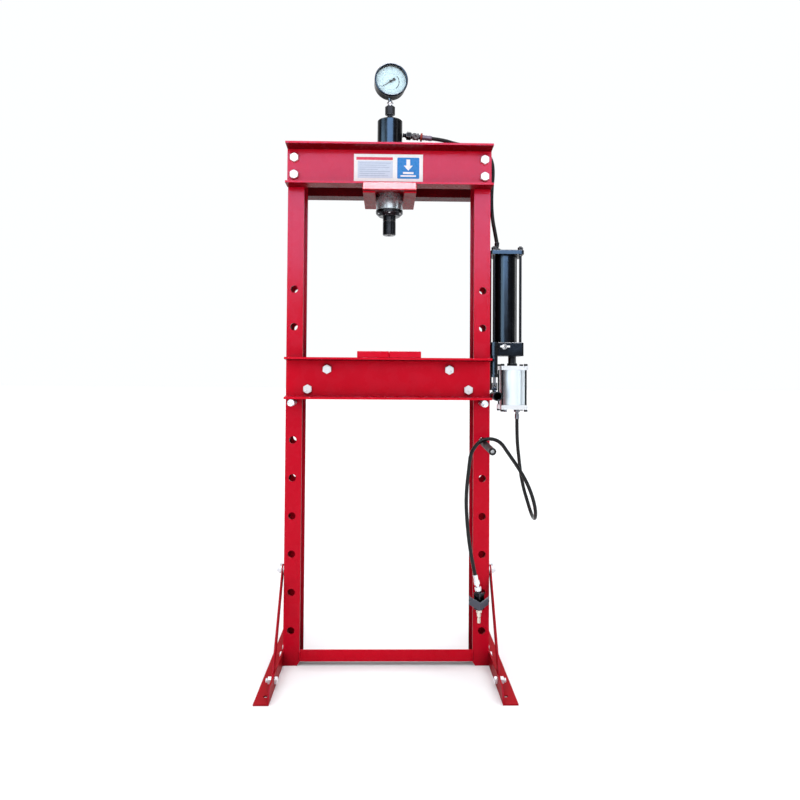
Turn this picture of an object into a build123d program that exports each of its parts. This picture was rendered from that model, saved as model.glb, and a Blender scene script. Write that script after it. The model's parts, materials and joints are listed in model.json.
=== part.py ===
"""Hydraulic shop press with an air-over-oil pump: an H-frame, a pinned bed and a 20-tonne ram.

Millimetres. X runs across the frame, Y runs from the operator to the back, Z is up.
The origin is on the floor, midway between the two posts.
"""
import os
from math import atan2, cos, degrees, pi, radians, sin, tan

from build123d import *

os.makedirs("parts", exist_ok=True)

# --- Frame ---------------------------------------------------------------------------------
post_outer = 298.0        # outside face of each post's web
post_depth = 100.0
post_flange = 48.0
post_web = 5.3
post_top = 1495.0
flange_tip = 6.0          # rolled flanges are thinner at the tip than at the root
flange_root = 9.0
post_notch = (8.0, 12.0)  # cut at the foot of each flange, across and up
pin_hole_x = 276.5
pin_hole_radius = 10.75
pin_hole_first = 100.0
pin_hole_pitch = 110.0
pin_hole_count = 10

beam_height = 120.0
beam_flange = 53.0
beam_web = 5.5
beam_back = 50.5          # inner face of each beam's web, from the middle plane
header_bottom = 1390.0
header_half = 300.0
header_bolt_x = 279.5
header_bolt_z = (1425.0, 1475.0)

# --- Fasteners: across flats, head height, nut height, shank radius --------------------------
m16 = dict(flats=24.0, head=10.0, nut=13.0, radius=8.0)
m12 = dict(flats=18.0, head=7.5, nut=10.0, radius=6.0)
thread_gap = 0.05
bolt_gap = 0.5

# --- Bed -------------------------------------------------------------------------------------
pin_radius = 10.0
pin_half = 104.0
pin_level = pin_hole_first + 6 * pin_hole_pitch
bed_bottom = pin_level + pin_radius + 0.3
bed_half = 297.0
bed_bolt_upper = (178.0, bed_bottom + 86.0)
bed_bolt_lower = (234.0, bed_bottom + 28.0)
spacer_radius = 12.0
plate_bottom = bed_bottom + beam_height + 0.3
plate_thickness = 18.0
plate_width = 91.2
plate_half_depth = 103.0
plate_split_x = 2.0
plate_gap = 0.6

# --- Feet and braces ---------------------------------------------------------------------------
foot_leg = 40.0
foot_wall = 4.0
foot_half = 300.0
foot_end_cut = (25.0, 32.0)
anchor = (313.0, 255.0)
anchor_radius = 6.0
foot_bolt = (28.0, 22.0)
brace_width = 30.0
brace_wall = 4.0
brace_top = (28.0, 270.0)
brace_foot = (200.0, 22.0)
crossbar_bottom = 12.0
crossbar_height = 34.0
crossbar_wall = 4.0
crossbar_shelf = 30.0

# --- Ram -----------------------------------------------------------------------------------------
saddle_half = 76.5
saddle_plate = (1382.0, 1390.0)
saddle_bar_width = 35.0
saddle_bar_bottom = 1363.0
saddle_depth = 104.0
lip_bottom = 1367.0
lip_nose = 1370.0
lip_top = 1393.0
lip_crest = 3.0
lip_reach = 18.0
cylinder_radius = 37.5
cylinder_bottom = 1334.0
cylinder_top = 1608.0
bore_radius = 29.0
bore_top = 1595.0
collar_radius = 40.0
gland_radius = 40.5
gland_bottom = 1316.0
gland_step = 1325.0
gland_hole_level = 1329.0
gland_spigot_top = 1352.0
ram_radius = 19.5
ram_nose = 1260.0
piston_bottom = 1560.0
piston_top = 1592.0
running_gap = 0.07
port_radius = 4.0
port_level = 1565.0
port_tilt = 6.0

# --- Gauge -----------------------------------------------------------------------------------------
gauge_level = 1722.0
gauge_turn = 6.0          # the gauge is screwed up a little past square
case_radius = 48.0
case_wall = 2.0
case_rear = -9.5
case_front = 28.0
bezel_radius = 50.0
bezel_front = 34.0
dial_face = 15.2
stem_radius = 7.0
adaptor = (1608.0, 1625.0, 1651.0)
pointer_angle = 213.0
pointer_reach = 34.0
pointer_tail = 15.0

# --- Pump ---------------------------------------------------------------------------------------------
pump_x = 350.0
block_half = 48.0
block = (899.0, 939.0)
cap_half = 49.0
cap = (1200.0, 1213.0)
reservoir_radius = 31.75
tie_reach = 39.0
tie_radius = 4.0
hand_x = 312.0
hand_y = -48.0
barrel_radius = 9.0
barrel_bottom = 836.0
plunger_radius = 4.0
lever_level = 804.0
lever_arm = 40.0
lever_pin = 3.0
ear_wall = 5.0
cheek_wall = 4.0
cheek_gap = 1.0
cheek_round = 7.0
socket_level = 782.0
socket_radius = 13.5
socket_bore = 10.5
valve_x = 340.0
valve_level = 926.0

# --- Air motor -------------------------------------------------------------------------------------------
motor_x = 372.0
motor_radius = 37.5
motor_wall = 3.0
motor_cap_lower = (741.0, 754.0)
motor_cap_upper = (858.0, 870.0)
motor_cap_half = 39.0
motor_bolt_reach = 34.5
air_rod_radius = 6.0
inlet_x = 387.0
inlet_end = 712.0
muffler_x = 352.0

# --- Stored handle --------------------------------------------------------------------------------
handle_droop = 2.0
handle_level = 647.0
handle_radius = 6.0
grip_radius = 10.0
grip = (30.0, 205.0)
handle_tail = -112.0

# --- Treadle valve at the end of the air hose ------------------------------------------------------
treadle = (262.0, -99.0, 202.0)
treadle_lean = 20.0
treadle_half = 28.0
treadle_height = 26.0
treadle_sheet = 2.0
valve_side = 22.0
valve_ends = (178.0, 226.0)
nipple_tip = 140.0

# --- Hoses ----------------------------------------------------------------------------------------
oil_hose_radius = 5.75
air_hose_radius = 5.25
oil_route = [
    (127.4, 0, 1555.6), (160.2, 0, 1552.15), (202, 10, 1543), (246, 27, 1542), (287, 34, 1536),
    (314, 37, 1507), (319, 36, 1465), (314, 33, 1415), (312, 27, 1365), (314, 19, 1317),
    (320, 8, 1276), (325, 0, 1240),
]
air_route = [
    (387, 0, inlet_end), (387, 0, 678), (390, 7, 636), (396, 13, 590), (402, 17, 544), (411, 18, 501),
    (423, 16, 461), (430, -10, 426), (430, -56, 422), (426, -89, 452), (414, -99, 497),
    (396, -101, 540), (372, -102, 580), (345, -104, 618), (315, -113, 660), (267, -116, 663),
    (235, -117, 626), (230, -114, 578), (225, -110, 530), (223, -107, 481), (226, -105, 432),
    (231, -102, 382), (239, -100, 329), (250.8, -99, 275.0),
]


def save(builder, name):
    """Label one finished piece and write its STEP file."""
    builder.part.label = name
    export_step(builder.part, f"parts/{name}.step")


def disc(plane, radius, height, bore=0.0, mode=Mode.ADD):
    """A round bar or ring that stands on a plane."""
    with BuildSketch(plane) as outline:
        Circle(radius)
        if bore:
            Circle(bore, mode=Mode.SUBTRACT)
    extrude(outline.sketch, amount=height, mode=mode)


def hexagon(plane, flats, height, bore=0.0):
    """A hexagonal bar or nut that stands on a plane."""
    with BuildSketch(plane) as outline:
        RegularPolygon(flats / 2, 6, major_radius=False)
        if bore:
            Circle(bore, mode=Mode.SUBTRACT)
    extrude(outline.sketch, amount=height)


def slab(low, high, mode=Mode.ADD):
    """A rectangular block between two corners."""
    middle = tuple((a + b) / 2 for a, b in zip(low, high))
    size = [b - a for a, b in zip(low, high)]
    with Locations(middle):
        Box(*size, mode=mode)


def screw(seat, size, grip, nut_at=None):
    """A bolt whose head stands on the seat plane, and its nut nut_at below that seat."""
    hexagon(seat, size["flats"], size["head"])
    disc(seat, size["radius"], -grip)
    if nut_at is not None:
        hexagon(seat.offset(-nut_at), size["flats"], -size["nut"], size["radius"] + thread_gap)


def facing(direction, x, y, z):
    """A plane at a point, with its normal along a direction."""
    return Plane(origin=(x, y, z), z_dir=direction)


def upright(x, y, z):
    """A level plane at a point."""
    return Plane(origin=(x, y, z))


def bend_radii(points):
    """Each bend takes 0.45 of the shorter run beside it."""
    radii = []
    corners = [Vector(*p) for p in points]
    for a, b, c in zip(corners, corners[1:], corners[2:]):
        turn = (b - a).get_angle(c - b)
        shorter = min((b - a).length, (c - b).length)
        radii.append(0.45 * shorter / tan(radians(turn / 2)))
    return radii


# ==============================================================================================
# Posts: rolled channels with their webs outward, drilled for the bed pins
# ==============================================================================================
for side, name in ((-1, "left_post"), (1, "right_post")):
    half = post_depth / 2
    tip_x = side * (post_outer - post_flange)
    web_x = side * (post_outer - post_web)
    with BuildPart() as post:
        with BuildSketch(Plane.XY):
            Polygon(
                (side * post_outer, -half), (side * post_outer, half),
                (tip_x, half), (tip_x, half - flange_tip),
                (web_x, half - flange_root), (web_x, flange_root - half),
                (tip_x, flange_tip - half), (tip_x, -half), align=None,
            )
        extrude(amount=post_top)
        with BuildSketch(Plane.XZ):
            with Locations([(side * pin_hole_x, pin_hole_first + i * pin_hole_pitch)
                            for i in range(pin_hole_count)]):
                Circle(pin_hole_radius)
            with Locations([(side * header_bolt_x, z) for z in header_bolt_z]):
                Circle(m16["radius"] + bolt_gap)
            Polygon((tip_x, 0), (tip_x + side * post_notch[0], 0), (tip_x, post_notch[1]), align=None)
        extrude(amount=post_depth, both=True, mode=Mode.SUBTRACT)
        with BuildSketch(Plane.YZ):
            with Locations([(end * foot_bolt[0], foot_bolt[1]) for end in (-1, 1)]):
                Circle(m12["radius"] + bolt_gap)
            with Locations([(end * brace_top[0], brace_top[1]) for end in (-1, 1)]):
                Circle(m12["radius"] + bolt_gap)
        extrude(amount=side * (post_outer + 1), mode=Mode.SUBTRACT)
    save(post, name)


# ==============================================================================================
# Beams: two channels back to back for the header, and two for the bed
# ==============================================================================================
def beam(side, bottom, length_half, holes):
    """One channel with its web's back at beam_back and its flanges pointing away from the middle."""
    top = bottom + beam_height
    back = side * beam_back
    face = side * (beam_back + beam_web)
    lip = side * (beam_back + beam_flange)
    with BuildPart() as channel:
        with BuildSketch(Plane.YZ.offset(-length_half)):
            Polygon(
                (back, bottom), (lip, bottom), (lip, bottom + flange_tip),
                (face, bottom + flange_root), (face, top - flange_root),
                (lip, top - flange_tip), (lip, top), (back, top), align=None,
            )
        extrude(amount=2 * length_half)
        with BuildSketch(Plane.XZ):
            with Locations(holes):
                Circle(m16["radius"] + bolt_gap)
        extrude(amount=post_depth, both=True, mode=Mode.SUBTRACT)
    return channel


header_holes = [(s * header_bolt_x, z) for s in (-1, 1) for z in header_bolt_z]
bed_holes = [(s * x, z) for s in (-1, 1) for x, z in (bed_bolt_upper, bed_bolt_lower)]
for side, place in ((-1, "front"), (1, "rear")):
    save(beam(side, header_bottom, header_half, header_holes), f"header_{place}_channel")
    save(beam(side, bed_bottom, bed_half, bed_holes), f"bed_{place}_channel")

header_grip = beam_back + beam_web - post_depth / 2 + flange_root
with BuildPart() as header_bolts:
    for side in (-1, 1):
        for x, z in header_holes:
            seat = facing((0, side, 0), x, side * (beam_back + beam_web), z)
            screw(seat, m16, header_grip + m16["nut"] + 4, nut_at=header_grip)
save(header_bolts, "header_bolts")

bed_grip = 2 * (beam_back + beam_web)
with BuildPart() as bed_bolts:
    for x, z in bed_holes:
        seat = facing((0, -1, 0), x, -(beam_back + beam_web), z)
        screw(seat, m16, bed_grip + m16["nut"] + 4, nut_at=bed_grip)
        spacer_end = facing((0, 1, 0), x, -beam_back, z)
        disc(spacer_end, spacer_radius, 2 * beam_back, m16["radius"] + bolt_gap)
save(bed_bolts, "bed_bolts")

for side, name in ((-1, "left_press_plate"), (1, "right_press_plate")):
    near = plate_split_x + side * plate_gap / 2
    far = near + side * plate_width
    with BuildPart() as plate:
        slab((min(near, far), -plate_half_depth, plate_bottom),
             (max(near, far), plate_half_depth, plate_bottom + plate_thickness))
        fillet(plate.edges().filter_by(Axis.Z), radius=3)
        chamfer(plate.faces().sort_by(Axis.Z)[-1].edges(), length=1.2)
    save(plate, name)

for side, name in ((-1, "left_bed_pin"), (1, "right_bed_pin")):
    with BuildPart() as pin:
        disc(facing((0, 1, 0), side * pin_hole_x, -pin_half, pin_level), pin_radius, 2 * pin_half)
        chamfer(pin.edges().filter_by(GeomType.CIRCLE), length=2)
        dimple = facing((0, 1, 0), side * pin_hole_x, -pin_half, pin_level)
        disc(dimple, 4.5, 2.5, mode=Mode.SUBTRACT)
    save(pin, name)

# ==============================================================================================
# Feet, braces and the base crossbar
# ==============================================================================================
for side, name in ((-1, "left_foot"), (1, "right_foot")):
    with BuildPart() as foot:
        with BuildSketch(Plane.XZ.offset(-foot_half)):
            Polygon(
                (side * post_outer, 0), (side * (post_outer + foot_leg), 0),
                (side * (post_outer + foot_leg), foot_wall),
                (side * (post_outer + foot_wall), foot_wall),
                (side * (post_outer + foot_wall), foot_leg), (side * post_outer, foot_leg), align=None,
            )
        extrude(amount=2 * foot_half)
        with BuildSketch(Plane.YZ):
            for end in (-1, 1):
                Polygon(
                    (end * foot_half, foot_leg), (end * (foot_half - foot_end_cut[0]), foot_leg),
                    (end * foot_half, foot_leg - foot_end_cut[1]), align=None,
                )
                with Locations((end * foot_bolt[0], foot_bolt[1]), (end * brace_foot[0], brace_foot[1])):
                    Circle(m12["radius"] + bolt_gap)
        extrude(amount=side * 2 * post_outer, mode=Mode.SUBTRACT)
        with BuildSketch(Plane.XY):
            with Locations([(side * anchor[0], end * anchor[1]) for end in (-1, 1)]):
                Circle(anchor_radius)
        extrude(amount=foot_wall, mode=Mode.SUBTRACT)
    save(foot, name)

brace_inner = post_outer + foot_wall
for end, name in ((-1, "front_braces"), (1, "rear_braces")):
    foot_end = Vector(end * brace_foot[0], brace_foot[1])
    post_end = Vector(end * brace_top[0], brace_top[1])
    run = post_end - foot_end
    with BuildPart() as braces:
        for side in (-1, 1):
            with BuildSketch(Plane.YZ.offset(side * brace_inner)):
                with Locations((foot_end + post_end) / 2):
                    SlotCenterToCenter(run.length, brace_width, rotation=degrees(atan2(run.Y, run.X)))
                with Locations(foot_end, post_end):
                    Circle(m12["radius"] + bolt_gap, mode=Mode.SUBTRACT)
            extrude(amount=side * brace_wall)
    save(braces, name)

with BuildPart() as frame_bolts:
    for side in (-1, 1):
        for end in (-1, 1):
            outward = (side, 0, 0)
            foot_seat = facing(outward, side * (post_outer + foot_wall), end * foot_bolt[0], foot_bolt[1])
            foot_grip = foot_wall + post_web
            screw(foot_seat, m12, foot_grip + m12["nut"] + 3, nut_at=foot_grip)
            inward = (-side, 0, 0)
            low_seat = facing(inward, side * post_outer, end * brace_foot[0], brace_foot[1])
            low_grip = foot_wall + brace_wall
            screw(low_seat, m12, low_grip + m12["nut"] + 6, nut_at=low_grip)
            top_seat = facing(inward, side * (post_outer - post_web), end * brace_top[0], brace_top[1])
            top_grip = post_web + foot_wall + brace_wall
            screw(top_seat, m12, top_grip + m12["nut"] + 4, nut_at=top_grip)
            washer_seat = facing(outward, side * post_outer, end * brace_top[0], brace_top[1])
            disc(washer_seat, 12, foot_wall, m12["radius"] + bolt_gap)
save(frame_bolts, "frame_bolts")

with BuildPart() as crossbar:
    reach = post_outer - post_flange
    front = -post_depth / 2
    slab((-reach, front, crossbar_bottom),
         (reach, front + crossbar_wall, crossbar_bottom + crossbar_height))
    slab((-reach, front + crossbar_wall, crossbar_bottom),
         (reach, front + crossbar_wall + crossbar_shelf, crossbar_bottom + crossbar_wall))
save(crossbar, "base_crossbar")

# ==============================================================================================
# Ram: saddle, cylinder, collar, gland, rod, piston and return spring
# ==============================================================================================
with BuildPart() as saddle:
    slab((-saddle_half, -saddle_depth, saddle_plate[0]), (saddle_half, saddle_depth, saddle_plate[1]))
    for side in (-1, 1):
        inner = side * (saddle_half - saddle_bar_width)
        outer = side * saddle_half
        slab((min(inner, outer), -saddle_depth, saddle_bar_bottom),
             (max(inner, outer), saddle_depth, saddle_plate[0]))
    with BuildSketch(Plane(origin=(-saddle_half, 0, 0), x_dir=(0, 1, 0), z_dir=(1, 0, 0))):
        Polygon(
            (-saddle_depth, lip_bottom), (-saddle_depth, lip_top), (-saddle_depth - lip_crest, lip_top),
            (-saddle_depth - lip_reach, lip_nose), (-saddle_depth - lip_reach, lip_bottom), align=None,
        )
    extrude(amount=2 * saddle_half)
    disc(upright(0, 0, saddle_plate[0]), cylinder_radius + bolt_gap, 20, mode=Mode.SUBTRACT)
save(saddle, "ram_saddle")

port_direction = Vector(cos(radians(port_tilt)), 0, -sin(radians(port_tilt)))
port_mouth = Vector(cylinder_radius + 0.6, 0, port_level)


def port_plane(distance):
    """A plane across the oil port's axis, a distance out from the cylinder's wall."""
    return Plane(origin=port_mouth + port_direction * distance, z_dir=port_direction)


with BuildPart() as cylinder:
    disc(upright(0, 0, cylinder_bottom), cylinder_radius, cylinder_top - cylinder_bottom)
    chamfer(cylinder.faces().sort_by(Axis.Z)[-1].edges(), length=3)
    disc(upright(0, 0, cylinder_bottom), bore_radius, bore_top - cylinder_bottom, mode=Mode.SUBTRACT)
    disc(upright(0, 0, bore_top), port_radius, cylinder_top - bore_top, mode=Mode.SUBTRACT)
    disc(port_plane(-12), port_radius, 14, mode=Mode.SUBTRACT)
save(cylinder, "ram_cylinder")

with BuildPart() as collar:
    disc(upright(0, 0, cylinder_bottom), collar_radius, saddle_plate[0] - cylinder_bottom,
         cylinder_radius + thread_gap)
    chamfer(collar.faces().sort_by(Axis.Z)[0].outer_wire().edges(), length=1.5)
save(collar, "cylinder_collar")

gland_hole_count = 8
with BuildPart() as gland:
    with BuildSketch(Plane.XZ):
        Polygon(
            (ram_radius + running_gap, gland_bottom), (31, gland_bottom), (gland_radius, gland_step),
            (gland_radius, cylinder_bottom), (bore_radius - 0.1, cylinder_bottom),
            (bore_radius - 0.1, gland_spigot_top), (ram_radius + running_gap, gland_spigot_top), align=None,
        )
    revolve(axis=Axis.Z)
    for i in range(gland_hole_count):
        angle = radians(360 * i / gland_hole_count + 22.5)
        outward = Vector(cos(angle), sin(angle), 0)
        hole = outward * (gland_radius - 5) + Vector(0, 0, gland_hole_level)
        disc(Plane(origin=hole, z_dir=outward), 2.5, 10, mode=Mode.SUBTRACT)
save(gland, "cylinder_gland")

with BuildPart() as rod:
    disc(upright(0, 0, ram_nose), ram_radius, piston_bottom - ram_nose)
    chamfer(rod.faces().sort_by(Axis.Z)[0].edges(), length=2)
    disc(upright(0, 0, ram_nose + 40), ram_radius + 1, 2.5, ram_radius - 1, mode=Mode.SUBTRACT)
    disc(upright(0, 0, ram_nose), 5, 16, mode=Mode.SUBTRACT)
save(rod, "ram_rod")

seal_band = (piston_bottom + 12, piston_bottom + 19)
seal_floor = 25.5
seal_gap = 0.04
with BuildPart() as piston:
    disc(upright(0, 0, piston_bottom), bore_radius - running_gap, piston_top - piston_bottom)
    disc(upright(0, 0, seal_band[0]), bore_radius + 1, seal_band[1] - seal_band[0], seal_floor,
         mode=Mode.SUBTRACT)
    disc(upright(0, 0, seal_band[0] + seal_gap), bore_radius - seal_gap,
         seal_band[1] - seal_band[0] - 2 * seal_gap, seal_floor + seal_gap)
save(piston, "ram_piston")

spring_wire = 2.2
spring_mean = 24.2
spring_turns = 9
spring_height = piston_bottom - gland_spigot_top - 2 * spring_wire - 1
with BuildPart() as spring:
    with BuildLine() as coil:
        Helix(spring_height / spring_turns, spring_height, spring_mean,
              center=(0, 0, gland_spigot_top + spring_wire + 0.5))
    with BuildSketch(Plane(origin=coil.line @ 0, z_dir=coil.line % 0)):
        Circle(spring_wire)
    sweep(is_frenet=True)
save(spring, "ram_return_spring")

# ==============================================================================================
# Pressure gauge
# ==============================================================================================
turn = radians(gauge_turn)
gauge_normal = Vector(sin(turn), -cos(turn), 0)
gauge_across = Vector(cos(turn), sin(turn), 0)


def gauge_plane(distance):
    """A plane parallel to the dial, a distance in front of the gauge's stem."""
    return Plane(origin=Vector(0, 0, gauge_level) + gauge_normal * distance,
                 x_dir=gauge_across, z_dir=gauge_normal)


with BuildPart() as gauge_adaptor:
    with BuildSketch(Plane.XZ):
        Polygon((0, adaptor[0]), (5.5, adaptor[0]), (5.5, adaptor[0] + 6), (9, adaptor[1]), (0, adaptor[1]),
                align=None)
    revolve(axis=Axis.Z)
    hexagon(upright(0, 0, adaptor[1]), 26, adaptor[2] - adaptor[1])
save(gauge_adaptor, "gauge_adaptor")

with BuildPart() as stem:
    disc(upright(0, 0, adaptor[2]), stem_radius, 40)
    slab((-6, -5, adaptor[2] + 40), (6, 5, adaptor[2] + 52))
save(stem, "gauge_stem")

with BuildPart() as case:
    disc(gauge_plane(case_rear), case_radius, case_front - case_rear)
    disc(gauge_plane(case_rear + case_wall), case_radius - case_wall, case_front - case_rear,
         mode=Mode.SUBTRACT)
    disc(upright(0, 0, gauge_level - case_radius - 2), stem_radius + 0.1, 8, mode=Mode.SUBTRACT)
save(case, "gauge_case")

lens_rear = case_front
lens_front = case_front + 2
with BuildPart() as bezel:
    disc(gauge_plane(case_front - 6), bezel_radius, 6 + lens_front - lens_rear, case_radius + 0.05)
    disc(gauge_plane(lens_front), bezel_radius, bezel_front - lens_front, bezel_radius - 5)
    chamfer(bezel.faces().sort_by(Axis.Y)[0].outer_wire().edges(), length=1.5)
save(bezel, "gauge_bezel")

with BuildPart() as lens:
    disc(gauge_plane(lens_rear), case_radius, lens_front - lens_rear)
save(lens, "gauge_lens")

with BuildPart() as dial:
    disc(gauge_plane(dial_face - 1.2), case_radius - case_wall - 0.1, 1.2, 2.5)
save(dial, "gauge_dial")

with BuildPart() as bourdon:
    with BuildLine(gauge_plane(4)) as curl:
        CenterArc((0, 0), 27, -75, 260)
    with BuildSketch(Plane(origin=curl.line @ 0, x_dir=gauge_normal, z_dir=curl.line % 0)):
        Rectangle(8, 3)
    sweep()
save(bourdon, "bourdon_tube")

with BuildPart() as pointer:
    with BuildSketch(gauge_plane(dial_face + 3)):
        with Locations(Rotation(0, 0, pointer_angle)):
            Polygon(
                (pointer_reach, 0.35), (4, 1.3), (-6, 1.3), (-9, 4.5), (-pointer_tail, 4.0),
                (-pointer_tail, -4.0), (-9, -4.5), (-6, -1.3), (4, -1.3), (pointer_reach, -0.35), align=None,
            )
    extrude(amount=1)
    disc(gauge_plane(dial_face - 4), 2.0, 8)
    disc(gauge_plane(dial_face + 2), 4.0, 3)
save(pointer, "gauge_pointer")

# ==============================================================================================
# Capacity plate on the header
# ==============================================================================================
with BuildPart() as label:
    slab((-105, -(beam_back + beam_web) - 0.8, 1401), (97.5, -(beam_back + beam_web), 1489))
save(label, "capacity_label")

# ==============================================================================================
# Oil line: coupler on the cylinder, hose, fitting on the pump
# ==============================================================================================
with BuildPart() as coupler:
    disc(port_plane(-7), port_radius - 0.05, 8)
    disc(port_plane(1), 6.5, 11)
    hexagon(port_plane(12), 22, 16)
    disc(port_plane(28), 8.5, 3)
    disc(port_plane(31), 10.5, 18)
    disc(port_plane(49), 7, 5)
    disc(port_plane(54), 12.5, 6)
    disc(port_plane(60), 8, 29.75)
save(coupler, "hose_coupler")


def hose(points, radius):
    """A round hose along straight runs joined by tangent arcs."""
    with BuildPart() as tube:
        with BuildLine() as path:
            FilletPolyline(*points, radius=bend_radii(points))
        with BuildSketch(Plane(origin=path.line @ 0, z_dir=path.line % 0)):
            Circle(radius)
        sweep()
    length = sum(edge.length for edge in path.line.edges())
    volume = pi * radius ** 2 * length
    print("hose length", round(length, 1), "radii", [round(r) for r in bend_radii(points)],
          "volume ratio", round(tube.part.volume / volume, 4))
    return tube


save(hose(oil_route, oil_hose_radius), "hydraulic_hose")

with BuildPart() as pump_fitting:
    hose_end = Vector(*oil_route[-1])
    entry = (Vector(*oil_route[-2]) - hose_end).normalized()
    hexagon(upright(hose_end.X, hose_end.Y, cap[1]), 19, 10)
    disc(upright(hose_end.X, hose_end.Y, cap[1] + 10), 5.5, 6)
    with BuildSketch(upright(hose_end.X, hose_end.Y, cap[1] + 16)) as ferrule_foot:
        Circle(6.5)
    with BuildSketch(Plane(origin=hose_end, z_dir=entry)) as ferrule_mouth:
        Circle(7.5)
    loft([ferrule_foot.sketch, ferrule_mouth.sketch])
save(pump_fitting, "pump_hose_fitting")

# ==============================================================================================
# Pump body: block, reservoir, tie rods
# ==============================================================================================
tie_points = [(pump_x + sx * tie_reach, sy * tie_reach) for sx in (-1, 1) for sy in (-1, 1)]
cap_left = pump_x - cap_half
block_left = pump_x - block_half
with BuildPart() as bracket:
    slab((post_outer, -30, block[0] + 6), (block_left, 30, block[1] - 6))
    slab((post_outer, -20, cap[0] + 2), (cap_left, 20, cap[1] - 2))
save(bracket, "pump_bracket")

with BuildPart() as pump_block:
    slab((block_left, -block_half, block[0]), (pump_x + block_half, block_half, block[1]))
    chamfer(pump_block.edges().filter_by(Axis.Z), length=4)
    chamfer(pump_block.faces().sort_by(Axis.Z)[-1].edges(), length=1.5)
    disc(upright(hand_x, hand_y, block[0]), 11, block[1] - block[0])
    disc(upright(hand_x, hand_y, block[0]), plunger_radius + running_gap, 12, mode=Mode.SUBTRACT)
    disc(facing((0, 1, 0), valve_x, -block_half, valve_level), 5 + running_gap, 22, mode=Mode.SUBTRACT)
    disc(upright(motor_x, 0, block[0]), air_rod_radius + running_gap, 36, mode=Mode.SUBTRACT)
    for x, y in tie_points:
        disc(upright(x, y, block[1] - 20), tie_radius + thread_gap, 20, mode=Mode.SUBTRACT)
save(pump_block, "pump_block")

with BuildPart() as reservoir:
    disc(upright(pump_x, 0, block[1]), reservoir_radius, cap[0] - block[1], reservoir_radius - 3)
save(reservoir, "reservoir_tube")

with BuildPart() as reservoir_cap:
    slab((cap_left, -cap_half, cap[0]), (pump_x + cap_half, cap_half, cap[1]))
    fillet(reservoir_cap.edges().filter_by(Axis.Z), radius=8)
    chamfer(reservoir_cap.faces().sort_by(Axis.Z)[-1].edges(), length=2)
    for x, y in tie_points:
        disc(upright(x, y, cap[0]), tie_radius + bolt_gap, 20, mode=Mode.SUBTRACT)
    hexagon(upright(pump_x + 12, 16, cap[1]), 15, 7)
save(reservoir_cap, "reservoir_cap")

with BuildPart() as tie_rods:
    for x, y in tie_points:
        disc(upright(x, y, block[1] - 20), tie_radius, cap[1] + 11 - block[1] + 20)
        hexagon(upright(x, y, cap[1]), 14, 8, tie_radius + thread_gap)
save(tie_rods, "tie_rods")

# ==============================================================================================
# Hand pump: barrel, plunger, fulcrum link and lever socket
# ==============================================================================================
fulcrum_y = hand_y + lever_arm
cheek_sides = [(hand_x + s * (ear_wall / 2 + cheek_gap), hand_x + s * (ear_wall / 2 + cheek_gap + cheek_wall))
               for s in (-1, 1)]

with BuildPart() as barrel:
    disc(upright(hand_x, hand_y, barrel_bottom), barrel_radius, block[0] - barrel_bottom,
         plunger_radius + running_gap)
    disc(upright(hand_x, hand_y, barrel_bottom), barrel_radius + 1.8, 10, barrel_radius - 1)
save(barrel, "hand_pump_barrel")


def cheek(y, top, low_x, high_x):
    """A flat link, rounded about its pin at the lower end."""
    with BuildSketch(Plane(origin=(low_x, y, lever_level), x_dir=(0, 1, 0), z_dir=(1, 0, 0))) as outline:
        Circle(cheek_round)
        with Locations((0, (top - lever_level) / 2)):
            Rectangle(2 * cheek_round, top - lever_level)
    extrude(outline.sketch, amount=high_x - low_x)


def pivot_pin(y):
    """The pin through both cheeks."""
    start = min(min(pair) for pair in cheek_sides)
    end = max(max(pair) for pair in cheek_sides)
    disc(facing((1, 0, 0), start, y, lever_level), lever_pin, end - start)


bridge_bottom = lever_level + 10.5
bridge_top = bridge_bottom + 5.5
with BuildPart() as plunger:
    for pair in cheek_sides:
        cheek(hand_y, bridge_top, min(pair), max(pair))
    slab((min(cheek_sides[0]), hand_y - cheek_round, bridge_bottom),
         (max(cheek_sides[1]), hand_y + cheek_round, bridge_top))
    pivot_pin(hand_y)
    disc(upright(hand_x, hand_y, bridge_top), plunger_radius, 52)
save(plunger, "hand_pump_plunger")

with BuildPart() as link:
    for pair in cheek_sides:
        cheek(fulcrum_y, block[0], min(pair), max(pair))
    pivot_pin(fulcrum_y)
save(link, "fulcrum_link")

slot_half = lever_pin + 0.9
slot_shift = 1.2          # the pin walks this far along its slot, either way
socket_front = hand_y - 60
socket_rear = hand_y + 10
with BuildPart() as lever:
    disc(facing((0, -1, 0), hand_x, socket_rear, socket_level), socket_radius, socket_rear - socket_front)
    with BuildSketch(Plane(origin=(hand_x - ear_wall / 2, 0, lever_level), x_dir=(0, 1, 0), z_dir=(1, 0, 0))):
        with Locations((hand_y - slot_shift, 0)):
            SlotCenterToCenter(2 * slot_shift + 1, 2 * (slot_half + 3))
        with Locations((fulcrum_y, 0)):
            Circle(slot_half + 3)
        Polygon((hand_y - 10, -12), (socket_rear, -12), (fulcrum_y + 4, -5), (fulcrum_y + 3, 3),
                (hand_y, 6), (hand_y - 6, 3), align=None)
    extrude(amount=ear_wall)
    with BuildSketch(Plane(origin=(hand_x - ear_wall, 0, lever_level), x_dir=(0, 1, 0), z_dir=(1, 0, 0))):
        with Locations((hand_y - slot_shift, 0)):
            SlotCenterToCenter(2 * slot_shift + 1, 2 * slot_half)
        with Locations((fulcrum_y, 0)):
            Circle(lever_pin + running_gap)
    extrude(amount=2 * ear_wall, mode=Mode.SUBTRACT)
    disc(facing((0, 1, 0), hand_x, socket_front, socket_level), socket_bore, socket_rear - socket_front - 5,
         mode=Mode.SUBTRACT)
save(lever, "lever_socket")

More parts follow.
